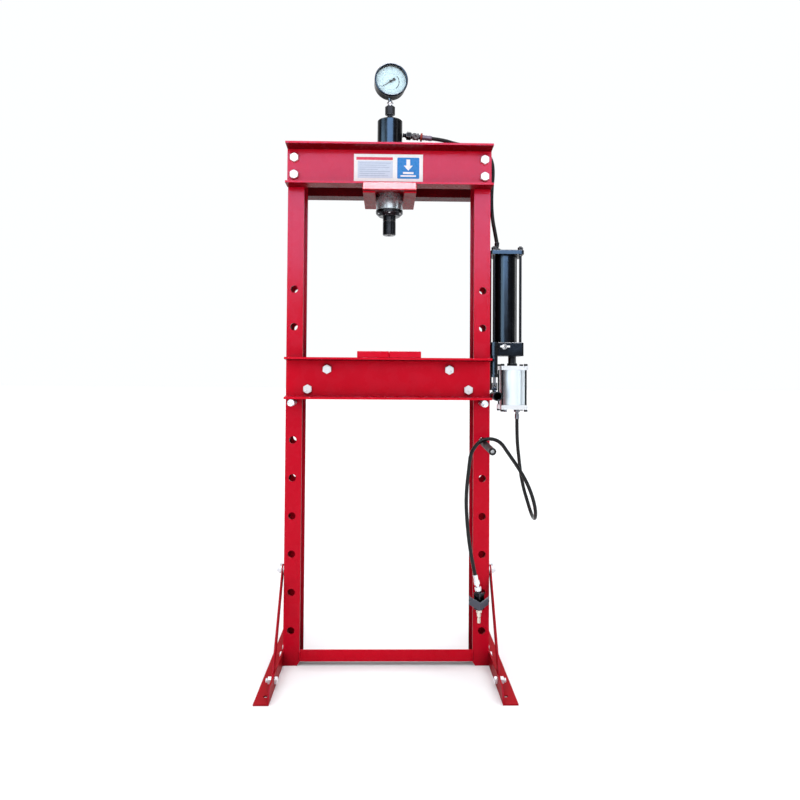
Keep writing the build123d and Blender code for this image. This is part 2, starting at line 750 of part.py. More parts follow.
with BuildPart() as release_valve:
    disc(facing((0, 1, 0), valve_x, -block_half - 1, valve_level), 5, 20)
    disc(facing((0, -1, 0), valve_x, -block_half - 0.4, valve_level), 8, 6)
    disc(facing((0, -1, 0), valve_x, -block_half - 6, valve_level), 4.5, 14)
    disc(facing((1, 0, 0), valve_x - 14, -block_half - 16, valve_level), 3, 28)
save(release_valve, "release_valve")

# ==============================================================================================
# Air motor under the pump
# ==============================================================================================
motor_points = [(motor_x + sx * motor_bolt_reach, sy * motor_bolt_reach) for sx in (-1, 1) for sy in (-1, 1)]

with BuildPart() as neck:
    hexagon(upright(motor_x, 0, motor_cap_upper[1] + 8), 21, block[0] - motor_cap_upper[1] - 8,
            air_rod_radius + running_gap)
    disc(upright(motor_x, 0, motor_cap_upper[1]), 15, 8, air_rod_radius + running_gap)
save(neck, "motor_neck")

with BuildPart() as motor_tube:
    disc(upright(motor_x, 0, motor_cap_lower[1]), motor_radius, motor_cap_upper[0] - motor_cap_lower[1],
         motor_radius - motor_wall)
save(motor_tube, "motor_tube")

with BuildPart() as motor_caps:
    for low, high in (motor_cap_lower, motor_cap_upper):
        with BuildSketch(Plane.XY.offset(low)):
            with Locations((motor_x, 0)):
                RectangleRounded(2 * motor_cap_half, 2 * motor_cap_half, 6)
            with Locations(motor_points):
                Circle(6.5)
                Circle(3.2, mode=Mode.SUBTRACT)
        extrude(amount=high - low)
    disc(upright(motor_x, 0, motor_cap_upper[0]), air_rod_radius + running_gap, 12, mode=Mode.SUBTRACT)
save(motor_caps, "motor_end_caps")

with BuildPart() as motor_bolts:
    for x, y in motor_points:
        disc(upright(x, y, motor_cap_lower[0]), 3, motor_cap_upper[1] - motor_cap_lower[0])
        hexagon(upright(x, y, motor_cap_upper[1]), 10, 6)
        hexagon(upright(x, y, motor_cap_lower[0]), 10, -6)
save(motor_bolts, "motor_bolts")

with BuildPart() as air_piston:
    disc(upright(motor_x, 0, motor_cap_lower[1] + 3), motor_radius - motor_wall - running_gap, 13)
    disc(upright(motor_x, 0, motor_cap_lower[1] + 16), air_rod_radius, 115)
save(air_piston, "air_piston")

with BuildPart() as motor_fittings:
    hexagon(upright(inlet_x, 0, motor_cap_lower[0]), 17, -8)
    disc(upright(inlet_x, 0, motor_cap_lower[0] - 8), 5.5, -7)
    disc(upright(inlet_x, 0, motor_cap_lower[0] - 15), 7, inlet_end - motor_cap_lower[0] + 15)
    hexagon(upright(muffler_x, 0, motor_cap_lower[0]), 11, -3)
    disc(upright(muffler_x, 0, motor_cap_lower[0] - 3), 4.5, -6)
save(motor_fittings, "motor_fittings")

# ==============================================================================================
# Air hose and the treadle valve that hangs on it
# ==============================================================================================
save(hose(air_route, air_hose_radius), "air_hose")

fitting_top = Vector(*air_route[-1])
fitting_axis = (Vector(*air_route[-2]) - fitting_top).normalized()


def fitting_plane(distance):
    """A plane across the leaning hose fitting, a distance below the hose's end."""
    return Plane(origin=fitting_top - fitting_axis * distance, z_dir=-fitting_axis)


with BuildPart() as valve_fitting:
    disc(fitting_plane(0), 6.5, 16)
    hexagon(fitting_plane(16), 14, 12)
    disc(fitting_plane(28), 5, 6)
    hexagon(fitting_plane(34), 16, 12)
save(valve_fitting, "valve_hose_fitting")

with BuildPart() as valve_body:
    fitting_foot = fitting_plane(46)
    boss_low = valve_ends[1]
    with BuildSketch(Plane.XY.offset(valve_ends[0])):
        with Locations((treadle[0], treadle[1])):
            Rectangle(valve_side, valve_side, rotation=45)
    extrude(amount=valve_ends[1] - valve_ends[0])
    chamfer(valve_body.edges().filter_by(Axis.Z), length=1)
    with BuildSketch(Plane(origin=fitting_foot.origin, z_dir=-fitting_axis)) as boss_mouth:
        Circle(7)
    with BuildSketch(upright(treadle[0], treadle[1], boss_low)) as boss_foot:
        Circle(8)
    loft([boss_foot.sketch, boss_mouth.sketch])
    disc(facing((1, 0, 0), treadle[0] - treadle_half - 1, treadle[1], treadle[2]), 2.5,
         2 * treadle_half + 2)
save(valve_body, "foot_valve_body")

with BuildPart() as nipple:
    hexagon(upright(treadle[0], treadle[1], valve_ends[0]), 14, -9)
    disc(upright(treadle[0], treadle[1], valve_ends[0] - 9), 5.5, -11)
    disc(upright(treadle[0], treadle[1], valve_ends[0] - 20), 3.5, -4)
    disc(upright(treadle[0], treadle[1], nipple_tip), 4.5, valve_ends[0] - 24 - nipple_tip)
save(nipple, "inlet_nipple")

lean = radians(treadle_lean)
treadle_up = Vector(0, -sin(lean), cos(lean))
treadle_plane = Plane(origin=Vector(*treadle) - treadle_up * (treadle_height / 2),
                      x_dir=(1, 0, 0), z_dir=treadle_up)
inner_half = treadle_half - treadle_sheet
inner_corner = treadle_half - 1.4142 * treadle_sheet
with BuildPart() as pedal:
    with BuildSketch(treadle_plane):
        Polygon(
            (-treadle_half, 6), (-treadle_half, 0), (0, -treadle_half), (treadle_half, 0), (treadle_half, 6),
            (inner_half, 6), (inner_half, inner_half - inner_corner), (0, -inner_corner),
            (-inner_half, inner_half - inner_corner), (-inner_half, 6), align=None,
        )
    extrude(amount=treadle_height)
    disc(facing((1, 0, 0), treadle[0] - treadle_half - 2, treadle[1], treadle[2]), 2.5 + running_gap,
         2 * treadle_half + 4, mode=Mode.SUBTRACT)
save(pedal, "foot_pedal")

# ==============================================================================================
# Pump handle, stored through one of the right-hand pin holes
# ==============================================================================================
droop = radians(handle_droop)
handle_axis = Vector(0, -cos(droop), -sin(droop))
handle_mouth = Vector(pin_hole_x, -post_depth / 2, handle_level)


def handle_plane(distance):
    """A plane across the handle, a distance out from the post's front face."""
    return Plane(origin=handle_mouth + handle_axis * distance, z_dir=handle_axis)


with BuildPart() as handle:
    disc(handle_plane(handle_tail), handle_radius, grip[1] - 8 - handle_tail)
    chamfer(handle.edges().filter_by(GeomType.CIRCLE), length=1)
save(handle, "pump_handle")

with BuildPart() as handle_grip:
    disc(handle_plane(grip[0]), grip_radius, grip[1] - grip[0])
    fillet(handle_grip.edges().filter_by(GeomType.CIRCLE), radius=2.5)
    disc(handle_plane(grip[0]), handle_radius + thread_gap, grip[1] - grip[0] - 8, mode=Mode.SUBTRACT)
save(handle_grip, "handle_grip")
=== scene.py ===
"""The looks of the hydraulic shop press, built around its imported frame.

Metres, in the frame's own axes: X runs across, Y to the back and Z up, with the floor at zero.
"""
import json
import math

import bmesh
import bpy
from mathutils import Matrix, Vector

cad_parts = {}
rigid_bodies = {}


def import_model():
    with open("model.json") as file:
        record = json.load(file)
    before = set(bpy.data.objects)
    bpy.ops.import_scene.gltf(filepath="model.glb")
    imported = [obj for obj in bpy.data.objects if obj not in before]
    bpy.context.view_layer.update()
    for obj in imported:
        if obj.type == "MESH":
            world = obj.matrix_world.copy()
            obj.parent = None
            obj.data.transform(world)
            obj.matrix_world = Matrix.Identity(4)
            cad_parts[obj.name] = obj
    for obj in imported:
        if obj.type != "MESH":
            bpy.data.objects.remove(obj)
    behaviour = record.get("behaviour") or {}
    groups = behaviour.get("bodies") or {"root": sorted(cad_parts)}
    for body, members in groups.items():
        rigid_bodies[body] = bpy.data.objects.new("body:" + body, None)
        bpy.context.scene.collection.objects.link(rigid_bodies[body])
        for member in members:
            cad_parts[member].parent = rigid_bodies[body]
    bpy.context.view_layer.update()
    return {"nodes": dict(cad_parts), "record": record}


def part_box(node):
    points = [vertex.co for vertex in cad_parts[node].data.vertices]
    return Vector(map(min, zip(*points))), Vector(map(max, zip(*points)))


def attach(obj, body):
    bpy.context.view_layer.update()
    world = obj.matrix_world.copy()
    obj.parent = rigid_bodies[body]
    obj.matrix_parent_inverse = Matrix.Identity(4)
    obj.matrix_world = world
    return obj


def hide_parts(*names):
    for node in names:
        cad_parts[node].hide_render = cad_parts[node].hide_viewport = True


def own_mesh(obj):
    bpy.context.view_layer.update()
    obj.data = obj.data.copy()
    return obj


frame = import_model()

MM = 0.001
bodies = {node: body for body, nodes in frame["record"]["behaviour"]["bodies"].items() for node in nodes}


# ==============================================================================================
# Camera
# ==============================================================================================
def make_camera():
    """An eye-level view from the front, turned a little to the right."""
    eye = (-0.0069, -2.1356, 0.8416)
    yaw, pitch, roll = (math.radians(angle) for angle in (-1.106, 1.508, 0.391))
    forward = Vector((-math.sin(yaw) * math.cos(pitch), math.cos(yaw) * math.cos(pitch), math.sin(pitch)))
    level = Vector((math.cos(yaw), math.sin(yaw), 0))
    upright = level.cross(forward)
    right = level * math.cos(roll) + upright * math.sin(roll)
    up = upright * math.cos(roll) - level * math.sin(roll)
    data = bpy.data.cameras.new("camera")
    data.sensor_width = 36
    data.lens = 32.09
    data.shift_x = 0.0003
    data.shift_y = -0.055
    camera = bpy.data.objects.new("camera", data)
    bpy.context.scene.collection.objects.link(camera)
    turn = Matrix((right, up, -forward)).transposed().to_4x4()
    camera.matrix_world = Matrix.Translation(eye) @ turn
    bpy.context.scene.camera = camera


make_camera()


# ==============================================================================================
# Materials
# ==============================================================================================
class Look:
    """A material being made: most calls add a node and give back its output."""

    def __init__(self, name, **sockets):
        self.material = bpy.data.materials.new(name)
        self.material.use_nodes = True
        self.tree = self.material.node_tree
        self.shader = self.tree.nodes["Principled BSDF"]
        self.place = self.node("ShaderNodeTexCoord").outputs["Object"]
        for socket, value in sockets.items():
            self.shader.inputs[socket.replace("_", " ")].default_value = value

    def node(self, kind, **options):
        made = self.tree.nodes.new(kind)
        for option, value in options.items():
            setattr(made, option, value)
        return made

    def feed(self, value, socket):
        """Join an output, or give a number or a colour, to a socket."""
        if isinstance(value, bpy.types.NodeSocket):
            self.tree.links.new(value, socket)
        else:
            socket.default_value = (*value, 1) if isinstance(value, tuple) and len(value) == 3 else value

    def noise(self, scale, detail=3, stretch=(1, 1, 1)):
        mapping = self.node("ShaderNodeMapping")
        mapping.inputs["Scale"].default_value = stretch
        self.feed(self.place, mapping.inputs["Vector"])
        texture = self.node("ShaderNodeTexNoise")
        texture.inputs["Scale"].default_value = scale
        texture.inputs["Detail"].default_value = detail
        self.feed(mapping.outputs[0], texture.inputs["Vector"])
        return texture.outputs["Fac"]

    def spread(self, value, low, high, new_low=0.0, new_high=1.0):
        """Stretch low..high over new_low..new_high."""
        made = self.node("ShaderNodeMapRange")
        for socket, number in zip(made.inputs[1:5], (low, high, new_low, new_high)):
            socket.default_value = number
        self.feed(value, made.inputs[0])
        return made.outputs[0]

    def math(self, operation, first, second):
        made = self.node("ShaderNodeMath", operation=operation)
        self.feed(first, made.inputs[0])
        self.feed(second, made.inputs[1])
        return made.outputs[0]

    def mix(self, share, first, second):
        made = self.node("ShaderNodeMix", data_type="RGBA")
        for value, socket in ((share, made.inputs[0]), (first, made.inputs[6]), (second, made.inputs[7])):
            self.feed(value, socket)
        return made.outputs[2]

    def edges(self, radius):
        """One on sharp edges, none on flat faces."""
        bevel = self.node("ShaderNodeBevel", samples=4)
        bevel.inputs["Radius"].default_value = radius
        flat = self.node("ShaderNodeNewGeometry").outputs["Normal"]
        turned_by = self.node("ShaderNodeVectorMath", operation="DOT_PRODUCT")
        self.feed(bevel.outputs[0], turned_by.inputs[0])
        self.feed(flat, turned_by.inputs[1])
        return self.spread(turned_by.outputs["Value"], 0.995, 0.80)

    def undersides(self):
        """One on faces that look down, none on the others."""
        split = self.node("ShaderNodeSeparateXYZ")
        self.feed(self.node("ShaderNodeNewGeometry").outputs["Normal"], split.inputs[0])
        return self.spread(split.outputs["Z"], -0.3, -0.9)

    def inward_sides(self):
        """One on faces that look sideways to the middle of the object, none on the others."""
        where, facing = self.node("ShaderNodeSeparateXYZ"), self.node("ShaderNodeSeparateXYZ")
        self.feed(self.place, where.inputs[0])
        self.feed(self.node("ShaderNodeNewGeometry").outputs["Normal"], facing.inputs[0])
        side = self.math("SIGN", where.outputs["X"], 0.0)
        return self.spread(self.math("MULTIPLY", side, facing.outputs["X"]), -0.6, -0.95)

    def recesses(self, reach, open_share, closed_share):
        """One deep inside a recess, none on open faces."""
        shade = self.node("ShaderNodeAmbientOcclusion", samples=6)
        shade.inputs["Distance"].default_value = reach
        return self.spread(shade.outputs["AO"], open_share, closed_share)

    def bump(self, height, distance, strength=1.0):
        made = self.node("ShaderNodeBump")
        made.inputs["Strength"].default_value = strength
        made.inputs["Distance"].default_value = distance
        self.feed(height, made.inputs["Height"])
        self.feed(made.outputs[0], self.shader.inputs["Normal"])

    def colour(self, value):
        self.feed(value, self.shader.inputs["Base Color"])

    def roughness(self, value):
        self.feed(value, self.shader.inputs["Roughness"])


def paint(name, colour, deep, shade_tone, bare, roughness, wear, gloss,
          open_share=0.50, closed_share=0.15, inward=0.0, shade_strength=0.85):
    """Sprayed enamel: orange peel, slow drifts of colour, chipped edges, and painted shade.

    The colour darkens to shade_tone as painted shade where the open share of a face's surroundings falls from
    open_share to closed_share, and on faces that look down, and by the share inward on faces that look
    sideways to the middle of the object. shade_strength says how far the painted shade goes; it takes away
    the gloss there too.
    """
    look = Look(name, Coat_Roughness=0.16)
    chips = look.spread(look.noise(160, 5), 0.50, 0.62)
    worn = look.math("MULTIPLY", look.math("MULTIPLY", look.edges(1.3 * MM), chips), wear)
    grime = look.spread(look.noise(9, 5, (1, 1, 0.5)), 0.42, 0.72)
    drift = look.mix(look.math("MULTIPLY", grime, 0.45), colour, deep)
    specks = look.spread(look.noise(1400, 2), 0.68, 0.76)
    drift = look.mix(look.math("MULTIPLY", specks, 0.25), drift, deep)
    # Painted shade: the colour darkens in recesses and on faces that look down, and loses its gloss there.
    shade_mask = look.math("MAXIMUM", look.recesses(0.32, open_share, closed_share), look.undersides())
    # Painted shade on faces that look sideways to the middle of the object.
    if inward:
        shade_mask = look.math("MAXIMUM", shade_mask, look.math("MULTIPLY", look.inward_sides(), inward))
    drift = look.mix(look.math("MULTIPLY", shade_mask, shade_strength), drift, shade_tone)
    look.feed(look.spread(shade_mask, 0.0, 0.8, gloss, 0.02), look.shader.inputs["Specular IOR Level"])
    look.feed(look.spread(shade_mask, 0.0, 0.8, gloss, 0.0), look.shader.inputs["Coat Weight"])
    look.colour(look.mix(worn, drift, bare))
    matt = look.spread(look.noise(30, 4), 0.3, 0.7, roughness - 0.05, roughness + 0.09)
    look.roughness(look.math("ADD", matt, look.math("MULTIPLY", worn, 0.25)))
    peel = look.math("ADD", look.noise(420, 1), look.math("MULTIPLY", look.noise(60, 2), 1.5))
    look.bump(peel, 0.10 * MM, 0.35)
    return look.material


def metal(name, bright, dull, roughness, grain=(1, 1, 1), grain_scale=900, depth=0.02, tint=0.5,
          metallic=1.0):
    """Bare or plated metal: blotches of tone, a grain and fine scratches along it."""
    look = Look(name, Metallic=metallic)
    blotch = look.spread(look.noise(45, 4), 0.35, 0.7)
    line = look.noise(grain_scale, 3, grain)
    worn = look.math("MULTIPLY", look.edges(0.9 * MM), 0.5)
    tone = look.mix(look.math("MULTIPLY", blotch, tint), bright, dull)
    tone = look.mix(look.math("MULTIPLY", look.spread(line, 0.5, 0.75), 0.3), tone, dull)
    look.colour(look.mix(worn, tone, (0.92, 0.92, 0.93)))
    look.roughness(look.spread(look.math("ADD", line, blotch), 0.4, 1.5, roughness - 0.06, roughness + 0.1))
    look.bump(line, depth * MM, 0.5)
    return look.material


def rubber(name, colour, dusty, roughness, scale, depth):
    """Moulded or extruded rubber: a fine pebbled skin with dust in it."""
    look = Look(name, Specular_IOR_Level=0.25)
    dust = look.spread(look.noise(28, 6), 0.48, 0.75)
    skin = look.noise(scale, 3)
    look.colour(look.mix(look.math("MULTIPLY", dust, 0.55), colour, dusty))
    look.roughness(look.spread(look.math("ADD", skin, dust), 0.4, 1.6, roughness - 0.08, roughness + 0.16))
    look.bump(skin, depth * MM, 0.6)
    return look.material


def film(name, colour, faded, roughness=0.22):
    """Printed film or card: nearly even, a little yellowed, with a soft ripple under its gloss."""
    look = Look(name, Specular_IOR_Level=0.3)
    age = look.spread(look.noise(40, 4), 0.4, 0.75)
    look.colour(look.mix(look.math("MULTIPLY", age, 0.5), colour, faded))
    look.roughness(look.spread(look.noise(120, 3), 0.3, 0.7, roughness, roughness + 0.12))
    look.bump(look.noise(55, 2), 0.08 * MM, 0.3)
    return look.material


def pane(name, colour):
    """The gauge's window: clear, with faint smears in its gloss."""
    look = Look(name, Alpha=0.03, IOR=1.5, Specular_IOR_Level=0.4)
    smear = look.noise(70, 5, (1, 1, 2.5))
    look.colour(look.mix(look.spread(smear, 0.3, 0.8), colour, (1.0, 1.0, 1.0)))
    look.roughness(look.spread(smear, 0.35, 0.75, 0.05, 0.12))
    return look.material


red_tones = ((0.57, 0.002, 0.015), (0.47, 0.001, 0.011))
# The painted shade colour, then the bare metal under worn paint.
shade_and_bare = ((0.045, 0.001, 0.002), (0.30, 0.10, 0.09))
red = paint("red_enamel", *red_tones, *shade_and_bare, 0.25, 0.5, 0.042)
# A darker copy of the red enamel for the posts, with painted shade on the faces that look sideways to the
# middle.
post_red = paint("post_enamel", (0.50, 0.002, 0.015), (0.42, 0.001, 0.011), *shade_and_bare, 0.25, 0.5, 0.048,
                 inward=0.95, shade_strength=0.97)
# Painted shade: a copy of the red enamel that goes nearly black in enclosed corners, for the header's rear
# channel.
shaded_red = paint("shaded_enamel", *red_tones, *shade_and_bare, 0.25, 0.5, 0.05,
                   open_share=0.92, closed_share=0.72, shade_strength=0.99)
# A darker, duller copy of the red enamel for the feet and braces: painted shade.
foot_red = paint("foot_enamel", (0.36, 0.003, 0.010), (0.24, 0.002, 0.006), *shade_and_bare, 0.36, 0.5, 0.012)
black = paint("black_enamel", (0.003, 0.0035, 0.005), (0.006, 0.007, 0.009), (0.001, 0.001, 0.002),
              (0.16, 0.16, 0.17), 0.20, 0.45, 0.11)
sheet_grey = paint("grey_sheet", (0.080, 0.088, 0.115), (0.045, 0.050, 0.066), (0.02, 0.022, 0.028),
                   (0.82, 0.83, 0.85), 0.34, 1.0, 0.1)
zinc = metal("zinc_plate", (0.80, 0.81, 0.83), (0.62, 0.65, 0.70), 0.32, tint=0.35, metallic=0.6)
collar_steel = metal("turned_collar", (0.52, 0.58, 0.62), (0.30, 0.35, 0.38), 0.24, (1, 1, 0.1), 1200, 0.010,
                     0.30, 0.85)
chrome = metal("bright_steel", (0.80, 0.82, 0.85), (0.55, 0.57, 0.61), 0.15, (1, 1, 0.06), 1500, 0.006, 0.2)
pin_steel = metal("turned_pin", (0.80, 0.84, 0.90), (0.50, 0.60, 0.72), 0.24, (1, 0.05, 1), 1500, 0.010,
                  0.3, 0.8)
oxide = metal("black_oxide", (0.030, 0.032, 0.038), (0.014, 0.015, 0.018), 0.26, (1, 1, 0.1), 1200, 0.010)
# Its blue tint is painted reflection of the blue-white light around it.
aluminium = metal("drawn_aluminium", (0.84, 0.93, 0.99), (0.76, 0.86, 0.93), 0.42, (1, 1, 0.03), 1600, 0.0,
                  0.10, 0.7)
cast_cap = metal("cast_aluminium", (0.80, 0.82, 0.85), (0.62, 0.64, 0.68), 0.36, (1, 1, 1), 500, 0.03,
                 0.25, 0.8)
rod_steel = metal("dark_steel", (0.20, 0.21, 0.24), (0.08, 0.085, 0.10), 0.22, (1, 1, 0.05), 1300, 0.008, 0.4)
brass = metal("plated_brass", (0.82, 0.78, 0.70), (0.60, 0.48, 0.30), 0.24, (1, 1, 0.1), 1200, 0.01,
              0.4, 0.85)
ferrule_steel = metal("plum_ferrule", (0.20, 0.17, 0.22), (0.11, 0.09, 0.13), 0.30, (1, 1, 0.2), 1000, 0.015,
                      0.5)
dust_ring = paint("dust_ring_red", (0.36, 0.05, 0.04), (0.22, 0.03, 0.03), (0.12, 0.02, 0.02),
                  (0.50, 0.30, 0.26), 0.4, 0.6, 0.1)
hose_rubber = rubber("hose_rubber", (0.004, 0.004, 0.005), (0.014, 0.015, 0.017), 0.32, 1300, 0.04)
grip_rubber = rubber("grip_rubber", (0.006, 0.006, 0.007), (0.018, 0.018, 0.020), 0.42, 1100, 0.10)
label_white = film("label_white", (0.88, 0.88, 0.90), (0.80, 0.79, 0.77))
label_blue = film("label_blue", (0.010, 0.215, 0.62), (0.008, 0.180, 0.52))
label_red = film("label_red", (0.72, 0.040, 0.10), (0.60, 0.035, 0.08))
label_panel = film("label_panel", (0.60, 0.68, 0.82), (0.54, 0.62, 0.75))
label_line = film("label_line", (0.28, 0.36, 0.52), (0.24, 0.32, 0.46))
dial_white = film("dial_white", (0.70, 0.92, 0.99), (0.66, 0.88, 0.95), 0.5)
dial_ink = film("dial_ink", (0.012, 0.014, 0.020), (0.02, 0.022, 0.028), 0.35)
dial_grey = film("dial_grey", (0.14, 0.20, 0.25), (0.17, 0.22, 0.28), 0.35)
dial_faint = film("dial_faint", (0.46, 0.58, 0.64), (0.50, 0.62, 0.68), 0.35)
window = pane("gauge_window", (0.92, 0.97, 1.0))


# ==============================================================================================
# Hoses: their routes are control points of a smooth curve
# ==============================================================================================
oil_route = [
    (0.1274, 0, 1.5556), (0.1602, 0, 1.55215), (0.202, 0.010, 1.543), (0.246, 0.027, 1.542),
    (0.287, 0.034, 1.536), (0.314, 0.037, 1.507), (0.319, 0.036, 1.465), (0.314, 0.033, 1.415),
    (0.312, 0.027, 1.365), (0.314, 0.019, 1.317), (0.320, 0.008, 1.276), (0.325, 0, 1.240),
]
air_route = [
    (0.387, 0, 0.712), (0.387, 0, 0.678), (0.390, 0.007, 0.636), (0.396, 0.013, 0.590),
    (0.402, 0.017, 0.544), (0.411, 0.018, 0.501), (0.423, 0.016, 0.461), (0.430, -0.010, 0.426),
    (0.430, -0.056, 0.422), (0.426, -0.089, 0.452), (0.414, -0.099, 0.497), (0.396, -0.101, 0.540),
    (0.372, -0.102, 0.580), (0.345, -0.104, 0.618), (0.315, -0.113, 0.660), (0.267, -0.116, 0.663),
    (0.235, -0.117, 0.626), (0.230, -0.114, 0.578), (0.225, -0.110, 0.530), (0.223, -0.107, 0.481),
    (0.226, -0.105, 0.432), (0.231, -0.102, 0.382), (0.239, -0.100, 0.329), (0.2508, -0.099, 0.275),
]


def make_hose(name, node, route, radius):
    """A smooth round hose along its route."""
    data = bpy.data.curves.new(name, "CURVE")
    data.dimensions = "3D"
    data.bevel_depth = radius
    data.bevel_resolution = 8
    data.resolution_u = 16
    data.use_fill_caps = True
    spline = data.splines.new("NURBS")
    spline.points.add(len(route) - 1)
    for point, place in zip(spline.points, route):
        point.co = (*place, 1)
    spline.order_u = 3
    spline.use_endpoint_u = True
    data.materials.append(hose_rubber)
    piece = bpy.data.objects.new(name, data)
    bpy.context.scene.collection.objects.link(piece)
    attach(piece, bodies[node])
    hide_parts(node)
    return piece


oil_hose = make_hose("oil_hose_skin", "hydraulic_hose", oil_route, 5.75 * MM)
air_hose = make_hose("air_hose_skin", "air_hose", air_route, 5.25 * MM)


# ==============================================================================================
# Mesh tools
# ==============================================================================================
def settle(name, grid, look, body, crease=35):
    """Turn a bmesh into a piece that rides on a body. Edges sharper than crease degrees stay sharp."""
    bmesh.ops.recalc_face_normals(grid, faces=grid.faces)
    mesh = bpy.data.meshes.new(name)
    grid.to_mesh(mesh)
    grid.free()
    mesh.materials.append(look)
    mesh.shade_smooth()
    mesh.set_sharp_from_angle(angle=math.radians(crease))
    piece = bpy.data.objects.new(name, mesh)
    bpy.context.scene.collection.objects.link(piece)
    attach(piece, body)
    return piece


def round_edges(piece, width, segments=2):
    """Round a piece's sharp edges, and keep its flat faces flat."""
    least_angle = 38
    bevel = piece.modifiers.new("rounded", "BEVEL")
    bevel.width = width
    bevel.segments = segments
    bevel.limit_method = "ANGLE"
    bevel.angle_limit = math.radians(least_angle)
    bevel.harden_normals = False
    bevel.miter_outer = "MITER_ARC"
    weighted = piece.modifiers.new("flat_faces", "WEIGHTED_NORMAL")
    weighted.keep_sharp = False
    return piece


def soften(node, look, width=0.6, segments=2):
    """A copy of a CAD node whose sharp edges are rounded by width, in millimetres."""
    grid = bmesh.new()
    grid.from_mesh(frame["nodes"][node].data)
    bmesh.ops.remove_doubles(grid, verts=grid.verts, dist=0.002 * MM)
    bmesh.ops.dissolve_limit(grid, angle_limit=math.radians(0.6), verts=grid.verts, edges=grid.edges)
    piece = settle(f"{node}_skin", grid, look, bodies[node], crease=180)
    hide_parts(node)
    return round_edges(piece, width * MM, segments)


def recolour(node, look):
    """Give a CAD node inside a casing its look, and keep its own shape."""
    materials = frame["nodes"][node].data.materials
    materials.clear()
    materials.append(look)


def along(origin, direction, side=(0, 0, 1)):
    """A place whose Z points along a direction."""
    z = Vector(direction).normalized()
    x = Vector(side).cross(z)
    if x.length < 1e-6:
        x = Vector((1, 0, 0))
    x.normalize()
    turn = Matrix((x, z.cross(x), z)).transposed().to_4x4()
    return Matrix.Translation(Vector(origin)) @ turn


def revolve(grid, profile, place, turns=64, knurl=None):
    """Revolve (radius, height) points about place's Z. A profile that ends where it starts is a ring.

    knurl is (from height, to height, depth): every second line of points sinks by depth there.
    """
    closed = profile[0] == profile[-1]
    rings = []
    for radius, height in profile[:-1] if closed else profile:
        if radius == 0:
            rings.append([grid.verts.new(place @ Vector((0, 0, height)))])
            continue
        ring = []
        for k in range(turns):
            sunk = knurl and k % 2 and knurl[0] <= height <= knurl[1]
            r = radius - (knurl[2] if sunk else 0)
            angle = 2 * math.pi * k / turns
            ring.append(grid.verts.new(place @ Vector((r * math.cos(angle), r * math.sin(angle), height))))
        rings.append(ring)
    pairs = list(zip(rings, rings[1:])) + ([(rings[-1], rings[0])] if closed else [])
    for low, high in pairs:
        for k in range(turns):
            corners = [low[k % len(low)], low[(k + 1) % len(low)],
                       high[(k + 1) % len(high)], high[k % len(high)]]
            corners = list(dict.fromkeys(corners))
            if len(corners) > 2:
                grid.faces.new(corners)


def turned(name, profile, place, look, body, turns=64, width=0.3, knurl=None):
    """A lathe-turned piece. The profile is in millimetres."""
    grid = bmesh.new()
    scaled = [(radius * MM, height * MM) for radius, height in profile]
    band = knurl and tuple(value * MM for value in knurl)
    revolve(grid, scaled, place, turns, band)
    piece = settle(name, grid, look, body)
    return round_edges(piece, width * MM) if width else piece


def hex_block(grid, place, flats, low, high, bore=0.0, chamfers=(False, True)):
    """A hexagon bar whose ends are turned off at 30 degrees, as on bolt heads and nuts."""
    turns = 72
    seat = flats * 0.475
    slope = math.tan(math.radians(30))
    plain_end = 0.98
    rings = [[], [], [], []]
    for k in range(turns):
        angle = 2 * math.pi * k / turns
        reach = flats / 2 / math.cos((angle + math.pi / 6) % (math.pi / 3) - math.pi / 6)
        drop = (reach - seat) * slope
        sides = ((low, chamfers[0], 1), (high, chamfers[1], -1))
        flank = [(reach, end + inward * drop if cut else end) for end, cut, inward in sides]
        inner = [(seat if cut else reach * plain_end, end) for end, cut, _ in sides]
        for ring, (radius, height) in zip(rings, (inner[0], flank[0], flank[1], inner[1])):
            point = Vector((radius * math.cos(angle), radius * math.sin(angle), height))
            ring.append(grid.verts.new(place @ point))
    if bore:
        hole = [[grid.verts.new(place @ Vector((bore * math.cos(2 * math.pi * k / turns),
                                                bore * math.sin(2 * math.pi * k / turns), height)))
                 for k in range(turns)] for height in (low, high)]
        rings = [hole[0], *rings, hole[1]]
    else:
        grid.faces.new(rings[0])
        grid.faces.new(rings[-1])
    chain = list(zip(rings, rings[1:])) + ([(rings[-1], rings[0])] if bore else [])
    for one, two in chain:
        for k in range(turns):
            grid.faces.new((one[k], one[(k + 1) % turns], two[(k + 1) % turns], two[k]))


def threaded(grid, place, radius, low, high, pitch):
    """A threaded bar from low to high, its tip chamfered."""
    depth = 0.55 * pitch
    profile = [(0, low), (radius, low)]
    height = low + pitch / 2
    while height < high - pitch * 1.5:
        profile += [(radius, height), (radius - depth, height + pitch / 2)]
        height += pitch
    profile += [(radius, height), (radius, high - pitch * 0.6), (radius - depth, high), (0, high)]
    revolve(grid, profile, place, 28)


# ==============================================================================================
# Fasteners: each CAD solid is read for its place, and made again with real heads and threads
# ==============================================================================================
def loose_parts(node):
    """The points of each separate solid in a CAD node."""
    grid = bmesh.new()
    grid.from_mesh(frame["nodes"][node].data)
    bmesh.ops.remove_doubles(grid, verts=grid.verts, dist=0.002 * MM)
    waiting = set(grid.verts)
    parts = []
    while waiting:
        reached = [waiting.pop()]
        for vertex in reached:
            near = {edge.other_vert(vertex) for edge in vertex.link_edges} & waiting
            waiting -= near
            reached.extend(sorted(near, key=lambda v: v.index))
        parts.append([vertex.co.copy() for vertex in reached])
    grid.free()
    return sorted(parts, key=lambda points: tuple(round(c, 4) for c in sum(points, Vector()) / len(points)))


def extent(points):
    """The low and the high corner of the box round some points."""
    low = Vector([min(point[k] for point in points) for k in range(3)])
    high = Vector([max(point[k] for point in points) for k in range(3)])
    return low, high


